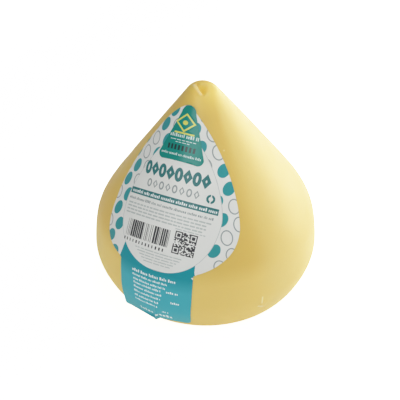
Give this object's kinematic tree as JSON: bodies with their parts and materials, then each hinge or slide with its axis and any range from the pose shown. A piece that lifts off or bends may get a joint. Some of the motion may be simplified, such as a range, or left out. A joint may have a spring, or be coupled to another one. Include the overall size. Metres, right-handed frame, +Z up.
{
  "type": "tetilla cheese",
  "caption": "Whole pear-shaped soft cow's milk cheese with a domed tip, a rounded belly, a flat base, a wrapped teardrop paper label with a tab, and a small seal.",
  "frame": {"origin": "middle of the flat base, on the surface that the cheese rests on", "axes": "+Z up along the cheese's axis towards the tip, -Y towards the side that carries the label"},
  "size_m": [0.13, 0.1306, 0.1276],
  "materials": {
    "rind": "satin",
    "label_paper": "satin coated paper",
    "seal_paper": "gloss"
  },
  "bodies": {
    "root": {"cheese": "rind", "label": "label_paper", "seal": "seal_paper"}
  },
  "joints": []
}
